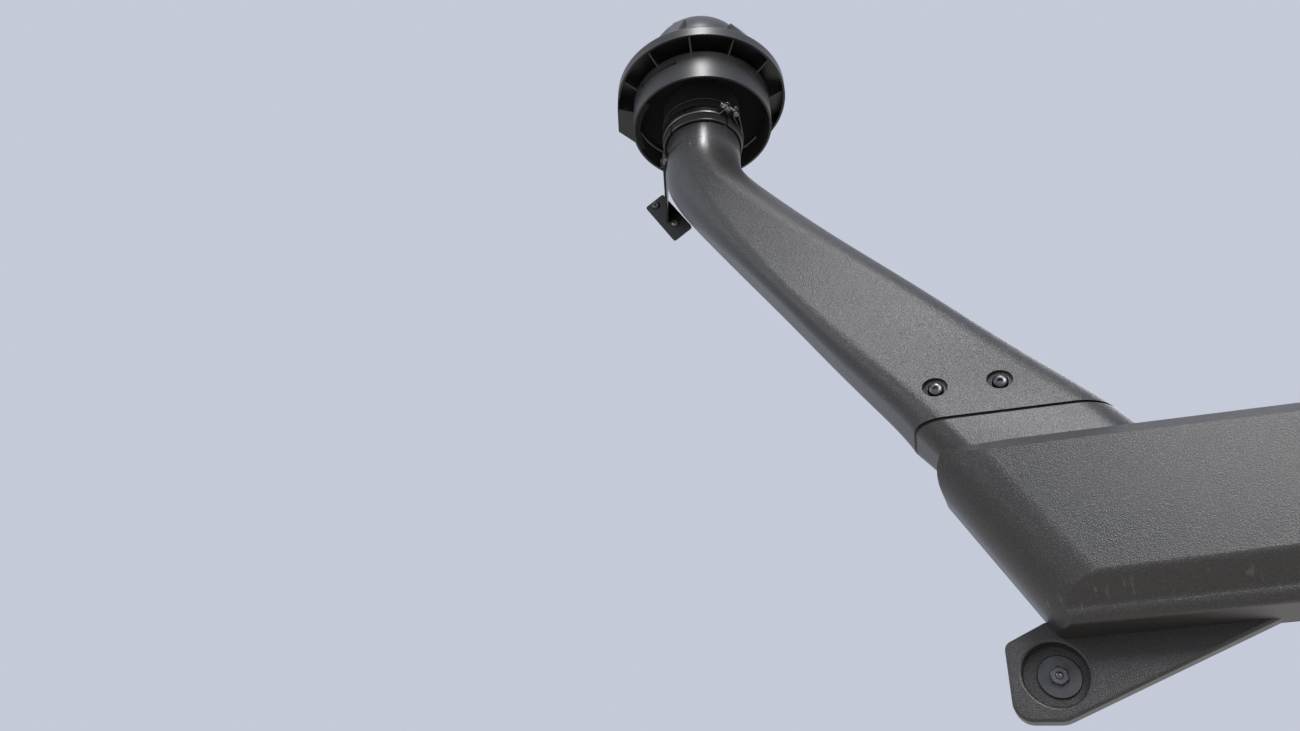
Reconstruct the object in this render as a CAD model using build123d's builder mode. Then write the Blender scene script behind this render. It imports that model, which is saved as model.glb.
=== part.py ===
from build123d import *
import math
import os

os.makedirs("parts", exist_ok=True)

# Raised air intake of an off-road vehicle, for its right side.
# Millimetres. X points to the vehicle's front, Y inboard and Z up.
# The origin is on the axis of the wing bolt, in the plane where the pad lies on the wing.

# Moulded walls and running clearances
duct_wall = 4.0
head_wall = 3.0
seat_gap = 0.3
turn_gap = 0.25
press_gap = 0.05

# Neck: the round top of the riser, which carries the head
neck_x = -302.0
neck_y = 50.0
neck_radius = 51.0
neck_base_z = 730.0
neck_top_z = 826.0
neck_side = 0.8

# Riser, from the seam above the wing duct to the neck
seam_z = 205.0
seam_half = 1.5
seam_groove = 2.0

# One row for each level of the riser: height, then X and Y of the outer rear, outer front, inner front and
# inner rear corners, then the radii of these corners
riser_levels = [
    (seam_z + seam_half, -69, -90, 92, -66, 92, 7, -84, 7, 26, 38, 30, 34),
    (252, -96, -84, 58, -58, 58, 16, -106, 16, 24, 38, 32, 34),
    (330, -147, -70, -1, -46, -1, 30, -151, 30, 20, 38, 34, 34),
    (420, -201, -55, -69, -40, -69, 46, -203, 46, 18, 42, 40, 34),
    (540, -275, -33, -157, -27, -157, 67, -275, 67, 30, 46, 44, 40),
    (620, -322, -17, -211, -17, -211, 82, -322, 82, 42, 47, 47, 46),
    (680, -349, -6, -243, -6, -243, 95, -349, 95, 49, 49, 49, 49),
]
stub_foot = (150, -33, -86, 126, -79, 126, -10, -48, -10, 26, 36, 30, 34)

# Screw cups in the riser's outer face
cup_radius = 11.0
cup_depth = 6.0
cup_boss_radius = 14.5
cup_boss_depth = 10.0
cup_places = [(-47.0, 240.3), (7.1, 240.3)]
seam_screw_radius = 3.0
seam_screw_head_radius = 7.0
seam_screw_head_height = 4.2
seam_screw_head_round = 3.6
seam_screw_length = 16.0

# Spigot of the wing duct inside the foot of the riser
spigot_inset = 14.0
spigot_top_z = 256.0
spigot_wall = 4.0

# Wing duct: a hollow chamber along the wing
chamber_outer_y = -95.0
chamber_inner_y = -10.0
chamber_top_z = 177.0
chamber_top_slope = -0.058
chamber_bevel_z = 165.0
chamber_bottom_z = 25.0
chamber_crease_z = 54.0
chamber_roll_z = 36.0
chamber_roll_y = -77.0
chamber_front_x = 345.0
chamber_front_top_x = 322.0
chamber_front_low_x = 292.0
chamber_front_low_z = 66.0
chamber_front_high_z = 122.0
chamber_rear_radius = 52.0
chamber_inner_radius = 12.0
chamber_nose_radius = 48.0
chamber_side_radii = [22.0, 8.0, 40.0, 30.0, 20.0, 16.0]
chamber_end_radii = [9.0, 5.0, 10.0, 5.0, 5.0, 5.0]
chamber_rear_x = -88.5
chamber_rear_slope = 0.535

# Air outlet through the wing
outlet_x = 262.0
outlet_z = 92.0
outlet_radius = 44.5
outlet_wall = 4.0
outlet_length = 60.0
outlet_shoulder = 48.0

# Lug and its bolt
lug_face_y = -28.0
lug_corners = [(-2, 40), (-35.5, 26), (-39, -32.5), (-2, -35), (165, 28), (165, 40)]
lug_radii = [4.0, 8.0, 14.0, 20.0, 4.0, 4.0]
lug_edge_round = 2.5
pocket_radius = 24.0
pocket_x = -2.5
pocket_floor_y = -14.0
washer_radius = 16.5
washer_thickness = 2.5
bolt_head_radius = 6.5
bolt_head_height = 6.0
bolt_dome_height = 1.5
bolt_sleeve_radius = 5.5
bolt_radius = 4.0
bolt_free_length = 25.0
bolt_hole_gap = 0.5

# Pad between the duct and the wing, and the studs that pass it
pad_inset = 3.0
pad_top_z = 150.0
stud_radius = 2.95
stud_root_radius = 3.5
stud_free_length = 20.0
stud_x = [45.0, 185.0]
stud_z = [50.0, 135.0]
stud_boss_radius = 9.0
stud_boss_depth = 14.0

# Pillar bracket: a plate on the windscreen pillar and an upright web that reaches the neck
pillar_y = 100.0
bracket_thickness = 3.0
plate_length = 88.0
plate_width = 32.0
plate_x = -376.0
plate_z = 694.0
plate_lean = 30.0
web_angle = 200.0
web_distance = 54.5
web_outline = [(-12, 716), (-12, 745), (44, 745), (62, 774), (71.5, 774), (71.5, 684), (40, 694)]
boss_z = 731.0
boss_radius = 9.0
boss_reach = 11.0
boss_hole_depth = 8.0
boss_screw_radius = 3.0
boss_screw_head_radius = 5.5
boss_screw_head_height = 3.5
pillar_screw_radius = 2.9
pillar_screw_root_radius = 3.2
pillar_screw_head_radius = 6.0
pillar_screw_head_height = 3.2
pillar_screw_free_length = 14.0
pillar_screw_places = [(-395.0, 722.0), (-365.0, 678.0)]

# Pre-cleaner head
drum_radius = 98.0
drum_bottom_z = 790.0
drum_top_z = 836.0
web_thickness = 4.0
collar_radius = 54.9
collar_bottom_z = 756.0
collar_slit = 3.0
collar_slit_count = 4
collar_slit_top_z = 790.0
brim_radius = 121.0
brim_bottom_z = 845.0
brim_top_z = 863.0
brim_round = 5.0
brim_arc_in = 1.5
brim_arc_down = 2.0
roof_z = 859.0
brim_slope_z = 864.5
dome_base_radius = 82.0
dome_base_z = 868.0
dome_radius = 78.0
dome_centre_z = 913.0
vane_count = 12
vane_thickness = 2.0
vane_first_angle = 13.5
vane_inner_radius = 91.0
vane_foot_z = 847.0
slot_count = 4
slot_height = 5.0
slot_sweep = 38.0
slot_first_angle = 72.0
slot_top_gap = 8.0
lip_first_angle = 181.0
lip_sweep = 55.0
lip_inner_radius = 88.0
lip_height = 5.0

# Buttresses between the brim and the dome
buttress_count = 6
buttress_first_angle = 30.7
buttress_width = 17.0
buttress_corners = [(70.0, roof_z + 1.0), (70.0, 932.5), (81.4, 932.5), (114.8, 865.0), (114.8, roof_z + 1.0)]

# Dust port on the brim
port_tip_angle = 184.7
port_tip_out = 7.4
port_end_angle = 159.3
port_end_in = 8.0
port_lead = 3.0
port_lag = 5.0
port_bottom_z = 833.0
port_wall = 2.5
port_mouth_height = 16.0
port_mouth_share = 0.27
port_mouth_width = 22.0
port_window_angle = 172.6
port_side = 6.0
port_play = 0.4

# Clamp round the collar
clamp_z = 774.0
clamp_width = 13.0
clamp_thickness = 1.2
clamp_angle = -32.0
clamp_ear_height = 15.0
clamp_ear_gap = 8.0
clamp_screw_reach = 9.0
clamp_screw_radius = 3.0
clamp_screw_length = 30.0


def moved_corners(corners, inset):
    """Corners of an outline, listed counter-clockwise, with each side moved inward by inset."""
    sides = []
    for (x1, y1), (x2, y2) in zip(corners, corners[1:] + corners[:1]):
        length = math.hypot(x2 - x1, y2 - y1)
        along = ((x2 - x1) / length, (y2 - y1) / length)
        sides.append((x1 - inset * along[1], y1 + inset * along[0], along))
    moved = []
    for (x1, y1, (a1, b1)), (x2, y2, (a2, b2)) in zip(sides[-1:] + sides[:-1], sides):
        step = ((x2 - x1) * b2 - (y2 - y1) * a2) / (a1 * b2 - b1 * a2)
        moved.append((x1 + a1 * step, y1 + b1 * step))
    return moved


def rounded_outline(level, inset=0.0):
    """Outline of one level moved inward by inset, with four sides joined by corner arcs."""
    z = level[0]
    corners = [level[1:3], level[3:5], level[5:7], level[7:9]]
    with BuildSketch(Plane.XY.offset(z)) as outline:
        with BuildLine():
            FilletPolyline(*moved_corners(corners, inset), radius=[r - inset for r in level[9:]], close=True)
        make_face()
    return outline.sketch


def between(low, high, z):
    """Level at height z on the straight run from the level low to the level high."""
    share = (z - low[0]) / (high[0] - low[0])
    return tuple(a + (b - a) * share for a, b in zip(low, high))


def joint_level(z):
    """Riser level at height z in the joint with the wing duct."""
    return between(riser_levels[0], riser_levels[1], z)


def stub_level(z):
    """Level of the stub under the seam, which widens downward."""
    return between(stub_foot, riser_levels[0], z)


def cup_face_y(x, z):
    """Y of the riser's outer face at x and z, in the joint."""
    x_rear, y_rear, x_front, y_front = joint_level(z)[1:5]
    return y_rear + (y_front - y_rear) * (x - x_rear) / (x_front - x_rear)


def rear_line(z, inset=0.0):
    """X of the chamber's slanted rear end at height z, moved inward by inset."""
    return chamber_rear_x + chamber_rear_slope * (seam_z - z) + inset * math.hypot(1.0, chamber_rear_slope)


def top_line(x):
    """Z of the chamber's top at x."""
    return chamber_top_z + chamber_top_slope * x


def chamber_body(inset):
    """Chamber moved inward by inset: where its slanted, side, end, bevel and nose outlines all meet."""
    low_z = chamber_bottom_z + inset
    low_y = chamber_outer_y + inset
    high_y = chamber_inner_y - inset
    rear_x = rear_line(seam_z, inset)
    front_x = chamber_front_x - inset
    reach_x = 2 * chamber_front_x
    length = (seam_z - low_z) * math.hypot(1.0, chamber_rear_slope)
    corner_x = rear_line(chamber_top_z, 0.0) / (1 + chamber_rear_slope * chamber_top_slope)
    bevel_z = chamber_bevel_z + chamber_top_slope * rear_x + inset - math.hypot(inset, inset)
    side = [
        (corner_x, top_line(corner_x)),
        (rear_line(chamber_bottom_z), chamber_bottom_z),
        (chamber_front_low_x, chamber_bottom_z),
        (chamber_front_x, chamber_front_low_z),
        (chamber_front_x, chamber_front_high_z),
        (chamber_front_top_x, top_line(chamber_front_top_x)),
    ]
    end = [
        (chamber_outer_y, chamber_crease_z),
        (chamber_roll_y, chamber_roll_z),
        (chamber_roll_y, chamber_bottom_z),
        (chamber_inner_y, chamber_bottom_z),
        (chamber_inner_y, seam_z),
        (chamber_outer_y, seam_z),
    ]
    bevel = [
        (low_y, -seam_z),
        (high_y, -seam_z),
        (high_y, bevel_z + high_y - low_y),
        (low_y, bevel_z),
    ]
    with BuildPart() as body:
        with BuildSketch(Plane.XY.offset(seam_z)):
            with BuildLine():
                FilletPolyline((rear_x, low_y), (reach_x, low_y), (reach_x, high_y), (rear_x, high_y),
                               radius=[chamber_rear_radius - inset, 1.0, 1.0, chamber_inner_radius - inset],
                               close=True)
            make_face()
        extrude(amount=length, dir=(chamber_rear_slope, 0, -1))
        with BuildSketch(Plane.YZ.offset(rear_x)):
            with BuildLine():
                Polyline(*bevel, close=True)
            make_face()
        extrude(amount=reach_x, dir=(1, 0, chamber_top_slope), mode=Mode.INTERSECT)
        with BuildSketch(Plane.XZ.offset(-high_y)):
            with BuildLine():
                FilletPolyline(*moved_corners(side, inset), radius=[r - inset for r in chamber_side_radii],
                               close=True)
            make_face()
        extrude(amount=high_y - low_y, mode=Mode.INTERSECT)
        with BuildSketch(Plane.YZ.offset(rear_x)):
            with BuildLine():
                FilletPolyline(*moved_corners(end, inset), radius=[r - inset for r in chamber_end_radii],
                               close=True)
            make_face()
        extrude(amount=front_x - rear_x, mode=Mode.INTERSECT)
        with BuildSketch(Plane.XY):
            with BuildLine():
                FilletPolyline((-front_x, low_y), (front_x, low_y), (front_x, high_y), (-front_x, high_y),
                               radius=[1.0, chamber_nose_radius - inset, chamber_inner_radius - inset, 1.0],
                               close=True)
            make_face()
        extrude(amount=seam_z, mode=Mode.INTERSECT)
    return body.part


def lug_outline(inset):
    """Lug seen from outboard, moved inward by inset."""
    with BuildSketch(Plane.XZ.offset(-chamber_inner_y)) as outline:
        with BuildLine():
            FilletPolyline(*lug_corners, radius=lug_radii, close=True)
        make_face()
        if inset > 0:
            offset(amount=-inset)
    return outline.sketch


def polar(radius, angle):
    """Point round the neck's axis."""
    return (neck_x + radius * math.cos(math.radians(angle)), neck_y + radius * math.sin(math.radians(angle)))


def finish(piece, name):
    """Label a piece and write its file."""
    piece.label = name
    export_step(piece, f"parts/{name}.step")
    print(name, round(piece.volume / 1000), "cm3", len(piece.solids()), "solids", piece.is_valid)


# The port's straight side leaves the brim's circle where it touches it
port_start_angle = port_tip_angle + math.degrees(math.acos(brim_radius / (brim_radius + port_tip_out)))
neck_line = Axis((neck_x, neck_y, 0), (0, 0, 1))
half_section = Plane(origin=(neck_x, neck_y, 0), x_dir=(1, 0, 0), z_dir=(0, -1, 0))
neck_low_x = neck_x - neck_radius
neck_high_x = neck_x + neck_radius
neck_low_y = neck_y - neck_radius
neck_high_y = neck_y + neck_radius
neck_level = (neck_base_z, neck_low_x, neck_low_y, neck_high_x, neck_low_y, neck_high_x, neck_high_y,
              neck_low_x, neck_high_y) + (neck_radius - neck_side / 2,) * 4
spigot_low = joint_level(seam_z - seam_half)
spigot_high = joint_level(spigot_top_z)
cups = [(x, cup_face_y(x, z), z) for x, z in cup_places]

# Riser: outer and inner lofts through the same levels, the round neck, cup bosses and the bracket's boss
web_normal = (math.cos(math.radians(web_angle)), math.sin(math.radians(web_angle)))
boss_plane = Plane(origin=(*polar(web_distance - bracket_thickness / 2, web_angle), boss_z),
                   x_dir=(0, 0, 1), z_dir=(-web_normal[0], -web_normal[1], 0))
all_levels = riser_levels + [neck_level]
with BuildPart() as riser_duct:
    loft(sections=[rounded_outline(level) for level in all_levels])
    extrude(rounded_outline(neck_level), amount=neck_top_z - neck_base_z)
    loft(sections=[rounded_outline(level, duct_wall) for level in all_levels], mode=Mode.SUBTRACT)
    extrude(rounded_outline(neck_level, duct_wall), amount=neck_top_z - neck_base_z, mode=Mode.SUBTRACT)
    with BuildSketch(boss_plane):
        Circle(boss_radius)
    extrude(amount=boss_reach)
    with BuildSketch(boss_plane):
        Circle(boss_screw_radius)
    extrude(amount=boss_hole_depth, mode=Mode.SUBTRACT)
    for x, y, z in cups:
        with BuildSketch(Plane((x, y + cup_depth, z), x_dir=(1, 0, 0), z_dir=(0, 1, 0))):
            Circle(cup_boss_radius)
        extrude(amount=cup_boss_depth)
    spigot_levels = [joint_level(seam_z + seam_half), joint_level(spigot_top_z + cup_boss_depth)]
    loft(sections=[rounded_outline(level, spigot_inset - seat_gap) for level in spigot_levels], ruled=True,
         mode=Mode.SUBTRACT)
    for x, y, z in cups:
        with BuildSketch(Plane((x, y - cup_depth, z), x_dir=(1, 0, 0), z_dir=(0, 1, 0))):
            Circle(cup_radius)
        extrude(amount=2 * cup_depth, mode=Mode.SUBTRACT)
        with BuildSketch(Plane((x, y, z), x_dir=(1, 0, 0), z_dir=(0, 1, 0))):
            Circle(seam_screw_radius)
        extrude(amount=2 * cup_boss_depth, mode=Mode.SUBTRACT)
finish(riser_duct.part, "riser_duct")

# Screws of the seam: button heads on the cup floors, shanks into the spigot
with BuildPart() as seam_screws:
    for x, y, z in cups:
        floor = Plane((x, y + cup_depth, z), x_dir=(1, 0, 0), z_dir=(0, -1, 0))
        with BuildSketch(floor):
            Circle(seam_screw_head_radius)
        head = extrude(amount=seam_screw_head_height)
        fillet(head.faces().sort_by(Axis.Y)[0].edges(), seam_screw_head_round)
        with BuildSketch(floor):
            Circle(seam_screw_radius - press_gap)
        extrude(amount=-seam_screw_length)
finish(seam_screws.part, "seam_screws")

# Seal in the seam, set back from the outer faces so that it reads as a dark groove
with BuildPart() as seam_seal:
    seal_level = (seam_z - seam_half,) + riser_levels[0][1:]
    extrude(rounded_outline(seal_level, seam_groove), amount=2 * seam_half)
    loft(sections=[rounded_outline(level, spigot_inset - seat_gap) for level in (spigot_low, spigot_high)],
         ruled=True, mode=Mode.SUBTRACT)
finish(seam_seal.part, "seam_seal")

# Wing duct: chamber, stub, spigot into the riser, air outlet and bolt lug, all open inside
with BuildPart() as lug:
    extrude(lug_outline(0.0), amount=chamber_inner_y - lug_face_y)
    with BuildSketch(Plane((pocket_x, pocket_floor_y, 0), x_dir=(1, 0, 0), z_dir=(0, -1, 0))):
        Circle(pocket_radius)
    extrude(amount=pocket_floor_y - lug_face_y, mode=Mode.SUBTRACT)
    fillet(faces().sort_by(Axis.Y)[0].edges(), lug_edge_round)
with BuildPart() as wing_duct:
    add(chamber_body(0.0))
    stub_levels = [stub_level(seam_z - seam_half), stub_foot]
    loft(sections=[rounded_outline(level) for level in stub_levels], ruled=True)
    add(lug.part)
    with BuildSketch(Plane((outlet_x, chamber_inner_y - duct_wall, outlet_z), x_dir=(1, 0, 0), z_dir=(0, 1, 0))):
        Circle(outlet_radius)
    extrude(amount=duct_wall - chamber_inner_y + outlet_length)
    with BuildSketch(Plane((outlet_x, chamber_inner_y - duct_wall, outlet_z), x_dir=(1, 0, 0), z_dir=(0, 1, 0))):
        Circle(outlet_shoulder)
    extrude(amount=duct_wall - chamber_inner_y)
    add(chamber_body(duct_wall), mode=Mode.SUBTRACT)
    loft(sections=[rounded_outline(level, spigot_inset) for level in (spigot_low, spigot_high)], ruled=True)
    spigot_void = spigot_inset + spigot_wall
    loft(sections=[rounded_outline(level, spigot_void) for level in (spigot_low, spigot_high)], ruled=True,
         mode=Mode.SUBTRACT)
    throat = [rounded_outline(spigot_low, spigot_void), rounded_outline(stub_foot, 2 * duct_wall)]
    loft(sections=throat, ruled=True, mode=Mode.SUBTRACT)
    with BuildSketch(Plane((outlet_x, chamber_inner_y - 2 * duct_wall, outlet_z), x_dir=(1, 0, 0),
                           z_dir=(0, 1, 0))):
        Circle(outlet_radius - outlet_wall)
    extrude(amount=2 * duct_wall - chamber_inner_y + outlet_length, mode=Mode.SUBTRACT)
    for x in stud_x:
        for z in stud_z:
            with BuildSketch(Plane((x, chamber_inner_y, z), x_dir=(1, 0, 0), z_dir=(0, -1, 0))):
                Circle(stud_boss_radius)
            extrude(amount=stud_boss_depth)
            with BuildSketch(Plane((x, chamber_inner_y, z), x_dir=(1, 0, 0), z_dir=(0, -1, 0))):
                Circle(stud_root_radius + press_gap)
            extrude(amount=stud_boss_depth - duct_wall, mode=Mode.SUBTRACT)
    with BuildSketch(Plane((0, 0, 0), x_dir=(1, 0, 0), z_dir=(0, -1, 0))):
        Circle(bolt_sleeve_radius + bolt_hole_gap)
    extrude(amount=-lug_face_y, mode=Mode.SUBTRACT)
    for x, y, z in cups:
        with BuildSketch(Plane((x, y, z), x_dir=(1, 0, 0), z_dir=(0, 1, 0))):
            Circle(seam_screw_radius)
        extrude(amount=3 * cup_boss_depth, mode=Mode.SUBTRACT)
finish(wing_duct.part, "wing_duct")

# Pad on the wing, under the chamber, with the holes that the studs and the outlet need
with BuildPart() as wing_pad:
    with BuildSketch(Plane.XZ):
        with BuildLine():
            FilletPolyline(
                (rear_line(pad_top_z, pad_inset), pad_top_z),
                (rear_line(chamber_bottom_z, pad_inset), chamber_bottom_z + pad_inset),
                (chamber_front_low_x, chamber_bottom_z + pad_inset),
                (chamber_front_x - pad_inset, chamber_front_low_z),
                (chamber_front_x - pad_inset, chamber_front_high_z),
                (chamber_front_top_x, pad_top_z),
                radius=[r - pad_inset for r in chamber_side_radii],
                close=True,
            )
        make_face()
    extrude(amount=-chamber_inner_y)
    for x in stud_x:
        for z in stud_z:
            with BuildSketch(Plane((x, 0, z), x_dir=(1, 0, 0), z_dir=(0, -1, 0))):
                Circle(stud_root_radius + bolt_hole_gap)
            extrude(amount=-chamber_inner_y, mode=Mode.SUBTRACT)
    with BuildSketch(Plane((outlet_x, 0, outlet_z), x_dir=(1, 0, 0), z_dir=(0, -1, 0))):
        Circle(outlet_shoulder + seat_gap)
    extrude(amount=-chamber_inner_y, mode=Mode.SUBTRACT)
finish(wing_pad.part, "wing_pad")

# The lug's own pad, cut along the edge of the chamber's pad, with the bolt's hole
with BuildPart() as lug_pad:
    extrude(lug_outline(pad_inset), amount=chamber_inner_y)
    add(wing_pad.part, mode=Mode.SUBTRACT)
    with BuildSketch(Plane((0, 0, 0), x_dir=(1, 0, 0), z_dir=(0, -1, 0))):
        Circle(bolt_sleeve_radius + bolt_hole_gap)
    extrude(amount=-chamber_inner_y, mode=Mode.SUBTRACT)
finish(lug_pad.part, "lug_pad")

# Wing bolt: domed hexagon head, sleeve through the lug and the pad, and a free end
washer_y = pocket_floor_y - washer_thickness
with BuildPart() as wing_bolt:
    with BuildSketch(Plane((0, washer_y, 0), x_dir=(1, 0, 0), z_dir=(0, -1, 0))):
        RegularPolygon(bolt_head_radius, 6, major_radius=False)
    extrude(amount=bolt_head_height)
    fillet(faces().sort_by(Axis.Y)[0].edges(), bolt_dome_height)
    with BuildSketch(Plane((0, washer_y, 0), x_dir=(1, 0, 0), z_dir=(0, 1, 0))):
        Circle(bolt_sleeve_radius)
    extrude(amount=-washer_y)
    with BuildSketch(Plane((0, 0, 0), x_dir=(1, 0, 0), z_dir=(0, 1, 0))):
        Circle(bolt_radius)
    extrude(amount=bolt_free_length)
finish(wing_bolt.part, "wing_bolt")

# Washer on the pocket's floor
with BuildPart() as wing_washer:
    with BuildSketch(Plane((0, pocket_floor_y, 0), x_dir=(1, 0, 0), z_dir=(0, -1, 0))):
        Circle(washer_radius)
        Circle(bolt_sleeve_radius + bolt_hole_gap / 2, mode=Mode.SUBTRACT)
    extrude(amount=washer_thickness)
    fillet(edges().filter_by(GeomType.CIRCLE).sort_by(SortBy.LENGTH)[-1:], washer_thickness / 3)
finish(wing_washer.part, "wing_washer")

# Studs at the back of the wing duct
with BuildPart() as wing_studs:
    for x in stud_x:
        for z in stud_z:
            with BuildSketch(Plane((x, 0, z), x_dir=(1, 0, 0), z_dir=(0, -1, 0))):
                Circle(stud_root_radius)
            extrude(amount=stud_boss_depth - duct_wall - chamber_inner_y)
            with BuildSketch(Plane((x, 0, z), x_dir=(1, 0, 0), z_dir=(0, 1, 0))):
                Circle(stud_radius)
            extrude(amount=stud_free_length)
finish(wing_studs.part, "wing_studs")

# Pillar bracket: the plate that lies on the windscreen pillar, and the upright web to the neck's boss
lean = math.radians(plate_lean)
plate_plane = Plane((plate_x, pillar_y, plate_z), x_dir=(math.cos(lean), 0, math.sin(lean)), z_dir=(0, -1, 0))
web_plane = Plane(origin=(*polar(web_distance + bracket_thickness / 2, web_angle), 0),
                  x_dir=(-math.sin(math.radians(web_angle)) * -1, math.cos(math.radians(web_angle)) * -1, 0),
                  z_dir=(-web_normal[0], -web_normal[1], 0))
with BuildPart() as pillar_bracket:
    with BuildSketch(plate_plane):
        RectangleRounded(plate_width, plate_length, 4.0)
    extrude(amount=bracket_thickness)
    with BuildSketch(web_plane):
        with BuildLine():
            FilletPolyline(*web_outline, radius=[6.0, 6.0, 8.0, 6.0, 0.5, 0.5, 10.0], close=True)
        make_face()
    extrude(amount=bracket_thickness)
    for x, z in pillar_screw_places:
        with BuildSketch(Plane((x, pillar_y, z), x_dir=(1, 0, 0), z_dir=(0, -1, 0))):
            Circle(pillar_screw_root_radius + bolt_hole_gap / 2)
        extrude(amount=bracket_thickness, mode=Mode.SUBTRACT)
    with BuildSketch(Plane(boss_plane.origin, x_dir=(0, 0, 1), z_dir=(web_normal[0], web_normal[1], 0))):
        Circle(boss_screw_radius + bolt_hole_gap / 2)
    extrude(amount=2 * bracket_thickness, mode=Mode.SUBTRACT)
finish(pillar_bracket.part, "pillar_bracket")

# Screws of the pillar plate, with pan heads outboard and free ends for the pillar
with BuildPart() as pillar_screws:
    for x, z in pillar_screw_places:
        face = Plane((x, pillar_y - bracket_thickness, z), x_dir=(1, 0, 0), z_dir=(0, -1, 0))
        with BuildSketch(face):
            Circle(pillar_screw_head_radius)
        extrude(amount=pillar_screw_head_height)
        with BuildSketch(face):
            Circle(pillar_screw_root_radius)
        extrude(amount=-bracket_thickness)
        with BuildSketch(Plane((x, pillar_y, z), x_dir=(1, 0, 0), z_dir=(0, 1, 0))):
            Circle(pillar_screw_radius)
        extrude(amount=pillar_screw_free_length)
    fillet(faces().filter_by(Axis.Y).group_by(Axis.Y)[0].edges(), pillar_screw_head_height / 2)
finish(pillar_screws.part, "pillar_screws")

# Screw that holds the web to the neck's boss
screw_face = Plane(origin=(*polar(web_distance + bracket_thickness / 2, web_angle), boss_z), x_dir=(0, 0, 1),
                   z_dir=(web_normal[0], web_normal[1], 0))
with BuildPart() as boss_screw:
    with BuildSketch(screw_face):
        RegularPolygon(boss_screw_head_radius, 6, major_radius=False)
    extrude(amount=boss_screw_head_height)
    with BuildSketch(screw_face):
        Circle(boss_screw_radius - press_gap)
    extrude(amount=-(bracket_thickness + boss_hole_depth))
finish(boss_screw.part, "boss_screw")

# Drum of the head: collar on the neck, web and slotted skirt
collar_bore = neck_radius + turn_gap
with BuildPart() as head_drum:
    with BuildSketch(half_section):
        with BuildLine():
            Polyline(
                (collar_bore, collar_bottom_z),
                (collar_radius, collar_bottom_z),
                (collar_radius, drum_top_z - web_thickness),
                (drum_radius - head_wall, drum_top_z - web_thickness),
                (drum_radius - head_wall, drum_bottom_z),
                (drum_radius, drum_bottom_z),
                (drum_radius, drum_top_z),
                (collar_bore - duct_wall, drum_top_z),
                (collar_bore - duct_wall, neck_top_z + seat_gap),
                (collar_bore, neck_top_z + seat_gap),
                close=True,
            )
        make_face()
    revolve(axis=neck_line)
    with BuildSketch(Plane.XY.offset(drum_top_z - slot_top_gap - slot_height)):
        for number in range(slot_count):
            middle = slot_first_angle + number * 360.0 / slot_count
            with BuildLine():
                inner = CenterArc((neck_x, neck_y), drum_radius - 2 * head_wall, middle - slot_sweep / 2, slot_sweep)
                outer = CenterArc((neck_x, neck_y), drum_radius + head_wall, middle - slot_sweep / 2, slot_sweep)
                Line(inner @ 0, outer @ 0)
                Line(inner @ 1, outer @ 1)
            make_face()
    extrude(amount=slot_height, mode=Mode.SUBTRACT)
    with BuildSketch(Plane.XY.offset(drum_bottom_z)):
        with BuildLine():
            inner = CenterArc((neck_x, neck_y), lip_inner_radius, lip_first_angle, lip_sweep)
            outer = CenterArc((neck_x, neck_y), drum_radius - head_wall / 2, lip_first_angle, lip_sweep)
            Line(inner @ 0, outer @ 0)
            Line(inner @ 1, outer @ 1)
        make_face()
    extrude(amount=lip_height)
    with BuildSketch(Plane.XY.offset(collar_bottom_z)):
        for number in range(collar_slit_count):
            angle = clamp_angle + number * 360.0 / collar_slit_count
            with Locations(Location((*polar(collar_radius, angle), 0), angle)):
                Rectangle(2 * duct_wall + 2 * collar_slit, collar_slit)
    extrude(amount=collar_slit_top_z - collar_bottom_z, mode=Mode.SUBTRACT)
finish(head_drum.part, "head_drum")

# Ring of swirl vanes on the drum's top, under the cap's roof
with BuildPart() as head_vanes:
    with BuildSketch(Plane.XY.offset(drum_top_z)):
        with Locations((neck_x, neck_y)):
            Circle(drum_radius)
            Circle(vane_inner_radius, mode=Mode.SUBTRACT)
    extrude(amount=head_wall)
    for number in range(vane_count):
        angle = vane_first_angle + number * 360.0 / vane_count
        in_port = port_end_angle - port_side < angle < port_start_angle + port_side
        outer = drum_radius if in_port else brim_radius - head_wall - seat_gap
        with BuildSketch(Plane(origin=(neck_x, neck_y, 0),
                               x_dir=(math.cos(math.radians(angle)), math.sin(math.radians(angle)), 0),
                               z_dir=(math.sin(math.radians(angle)), -math.cos(math.radians(angle)), 0))):
            with BuildLine():
                Polyline(
                    (vane_inner_radius, drum_top_z),
                    (drum_radius, drum_top_z),
                    (outer, vane_foot_z),
                    (outer, roof_z),
                    (vane_inner_radius, roof_z),
                    close=True,
                )
            make_face()
        extrude(amount=vane_thickness / 2, both=True)
finish(head_vanes.part, "head_vanes")

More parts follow.
